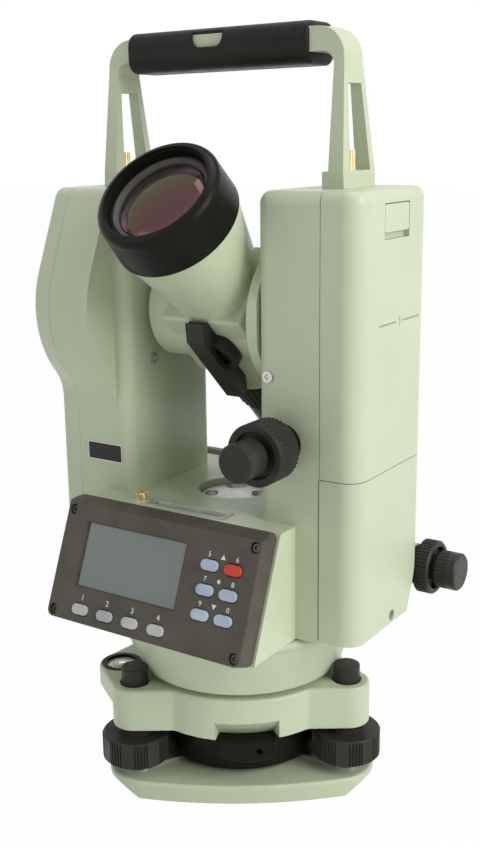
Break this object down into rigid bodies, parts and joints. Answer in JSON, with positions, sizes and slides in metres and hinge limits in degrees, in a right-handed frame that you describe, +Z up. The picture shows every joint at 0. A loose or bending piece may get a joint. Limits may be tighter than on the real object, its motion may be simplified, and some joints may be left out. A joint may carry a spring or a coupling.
{
  "type": "electronic theodolite",
  "caption": "Electronic theodolite: levelling tribrach, rotating alidade with two displays, U-shaped standards, transiting telescope, clamp and tangent knobs, battery and carrying handle.",
  "frame": {"origin": "on the vertical axis at the underside of the base plate, at the mouth of the central tripod thread", "axes": "+Z up along the vertical axis; +X along the trunnion axis towards the battery side; +Y away from a person facing the front display"},
  "size_m": [0.1873, 0.1592, 0.3614],
  "materials": {
    "green_paint": "satin sprayed paint",
    "black_paint": "satin black enamel",
    "black_plastic": "fine matt moulded",
    "grip_rubber": "soft matt rubber",
    "panel_plastic": "fine matt moulded",
    "display_glass": "smooth clear window over grey-green display",
    "key_plastic": "smooth satin",
    "red_key_plastic": "smooth satin",
    "steel": "turned steel",
    "black_screw": "blackened steel",
    "brass": "turned brass",
    "pale_metal": "matt anodised",
    "vial_glass": "clear glass with pale liquid",
    "circle_glass": "clear glass disc",
    "lens_glass": "coated lens"
  },
  "bodies": {
    "tribrach": {"base_plate": "green_paint", "spring_plate": "steel", "thread_insert": "brass", "tribrach_body": "green_paint", "foot_screw_caps": "black_plastic", "lug_studs": "steel", "circular_level_case": "black_paint", "circular_level_vial": "vial_glass", "lower_housing": "green_paint", "spindle_sleeve": "steel", "horizontal_circle": "circle_glass"},
    "foot_screw_1": {"foot_screw_1": "black_plastic"},
    "foot_screw_2": {"foot_screw_2": "black_plastic"},
    "foot_screw_3": {"foot_screw_3": "black_plastic"},
    "lock": {"lock_drum": "black_paint", "lock_lever": "black_paint"},
    "alidade": {"yoke": "green_paint", "circle_cover": "green_paint", "side_cover": "green_paint", "handle_frame": "green_paint", "handle_grip": "grip_rubber", "handle_screws": "brass", "front_panel": "panel_plastic", "back_panel": "panel_plastic", "front_display": "display_glass", "back_display": "display_glass", "panel_screws": "black_screw", "spindle": "steel", "plate_level_case": "pale_metal", "plate_level_vial": "vial_glass", "level_adjusting_screw": "brass", "plummet_cap": "pale_metal", "trunnion_bushes": "steel", "knob_collars": "black_paint", "cover_screws": "steel", "back_keypad": "key_plastic"},
    "vertical_clamp": {"vertical_clamp_ring": "black_plastic"},
    "vertical_tangent": {"vertical_tangent_knob": "black_plastic"},
    "horizontal_clamp": {"horizontal_clamp_ring": "black_plastic"},
    "horizontal_tangent": {"horizontal_tangent_knob": "black_plastic"},
    "battery": {"battery_pack": "green_paint"},
    "battery_latch": {"battery_latch": "green_paint"},
    "telescope": {"telescope_body": "green_paint", "objective_hood": "black_paint", "objective_lens": "lens_glass", "collimator_sights": "black_plastic", "trunnion_axle": "steel", "vertical_circle": "circle_glass"},
    "focus_ring": {"focus_ring": "black_plastic"},
    "eyepiece": {"eyepiece": "black_plastic"},
    "bottom_key_1": {"bottom_key_1": "key_plastic"},
    "bottom_key_2": {"bottom_key_2": "key_plastic"},
    "bottom_key_3": {"bottom_key_3": "key_plastic"},
    "bottom_key_4": {"bottom_key_4": "key_plastic"},
    "right_key_1": {"right_key_1": "key_plastic"},
    "right_key_2": {"right_key_2": "red_key_plastic"},
    "right_key_3": {"right_key_3": "key_plastic"},
    "right_key_4": {"right_key_4": "key_plastic"},
    "right_key_5": {"right_key_5": "key_plastic"},
    "right_key_6": {"right_key_6": "key_plastic"}
  },
  "joints": [
    {"name": "foot_screw_1_turn", "type": "hinge", "parent": "tribrach", "child": "foot_screw_1", "pos_m": [-0.02649, -0.05384, 0.02], "axis": [0, 0, 1], "range_deg": [-1260, 1260]},
    {"name": "foot_screw_2_turn", "type": "hinge", "parent": "tribrach", "child": "foot_screw_2", "pos_m": [0.05987, 0.00398, 0.02], "axis": [0, 0, 1], "range_deg": [-1260, 1260]},
    {"name": "foot_screw_3_turn", "type": "hinge", "parent": "tribrach", "child": "foot_screw_3", "pos_m": [-0.03338, 0.04986, 0.02], "axis": [0, 0, 1], "range_deg": [-1260, 1260]},
    {"name": "lock_turn", "type": "hinge", "parent": "tribrach", "child": "lock", "pos_m": [0, 0, 0.03], "axis": [0, 0, 1], "range_deg": [-26, 0]},
    {"name": "alidade_turn", "type": "hinge", "parent": "tribrach", "child": "alidade", "pos_m": [0, 0, 0.09], "axis": [0, 0, 1], "continuous": true},
    {"name": "telescope_turn", "type": "hinge", "parent": "alidade", "child": "telescope", "pos_m": [0, 0, 0.2338], "axis": [1, 0, 0], "continuous": true},
    {"name": "focus_turn", "type": "hinge", "parent": "telescope", "child": "focus_ring", "pos_m": [0, 0, 0.2338], "axis": [0, -0.7193, 0.6947], "range_deg": [-150, 150]},
    {"name": "eyepiece_turn", "type": "hinge", "parent": "telescope", "child": "eyepiece", "pos_m": [0, 0, 0.2338], "axis": [0, -0.7193, 0.6947], "range_deg": [-180, 180]},
    {"name": "vertical_clamp_turn", "type": "hinge", "parent": "alidade", "child": "vertical_clamp", "pos_m": [0.0469, 0, 0.1815], "axis": [0, -1, 0], "range_deg": [0, 90]},
    {"name": "vertical_tangent_turn", "type": "hinge", "parent": "alidade", "child": "vertical_tangent", "pos_m": [0.0469, 0, 0.1815], "axis": [0, -1, 0], "range_deg": [-1800, 1800]},
    {"name": "horizontal_clamp_turn", "type": "hinge", "parent": "alidade", "child": "horizontal_clamp", "pos_m": [0, 0.0408, 0.107], "axis": [1, 0, 0], "range_deg": [0, 90]},
    {"name": "horizontal_tangent_turn", "type": "hinge", "parent": "alidade", "child": "horizontal_tangent", "pos_m": [0, 0.0408, 0.107], "axis": [1, 0, 0], "range_deg": [-1800, 1800]},
    {"name": "battery_slide", "type": "slide", "parent": "alidade", "child": "battery", "axis": [1, 0, 0], "range_m": [0, 0.05]},
    {"name": "latch_slide", "type": "slide", "parent": "battery", "child": "battery_latch", "axis": [0, 0, -1], "range_m": [0, 0.0026], "stiffness_N_per_m": 300},
    {"name": "bottom_key_1_press", "type": "slide", "parent": "alidade", "child": "bottom_key_1", "axis": [0, 0.9239, -0.3827], "range_m": [0, 0.0008], "stiffness_N_per_m": 300},
    {"name": "bottom_key_2_press", "type": "slide", "parent": "alidade", "child": "bottom_key_2", "axis": [0, 0.9239, -0.3827], "range_m": [0, 0.0008], "stiffness_N_per_m": 300},
    {"name": "bottom_key_3_press", "type": "slide", "parent": "alidade", "child": "bottom_key_3", "axis": [0, 0.9239, -0.3827], "range_m": [0, 0.0008], "stiffness_N_per_m": 300},
    {"name": "bottom_key_4_press", "type": "slide", "parent": "alidade", "child": "bottom_key_4", "axis": [0, 0.9239, -0.3827], "range_m": [0, 0.0008], "stiffness_N_per_m": 300},
    {"name": "right_key_1_press", "type": "slide", "parent": "alidade", "child": "right_key_1", "axis": [0, 0.9239, -0.3827], "range_m": [0, 0.0008], "stiffness_N_per_m": 300},
    {"name": "right_key_2_press", "type": "slide", "parent": "alidade", "child": "right_key_2", "axis": [0, 0.9239, -0.3827], "range_m": [0, 0.0008], "stiffness_N_per_m": 300},
    {"name": "right_key_3_press", "type": "slide", "parent": "alidade", "child": "right_key_3", "axis": [0, 0.9239, -0.3827], "range_m": [0, 0.0008], "stiffness_N_per_m": 300},
    {"name": "right_key_4_press", "type": "slide", "parent": "alidade", "child": "right_key_4", "axis": [0, 0.9239, -0.3827], "range_m": [0, 0.0008], "stiffness_N_per_m": 300},
    {"name": "right_key_5_press", "type": "slide", "parent": "alidade", "child": "right_key_5", "axis": [0, 0.9239, -0.3827], "range_m": [0, 0.0008], "stiffness_N_per_m": 300},
    {"name": "right_key_6_press", "type": "slide", "parent": "alidade", "child": "right_key_6", "axis": [0, 0.9239, -0.3827], "range_m": [0, 0.0008], "stiffness_N_per_m": 300}
  ]
}
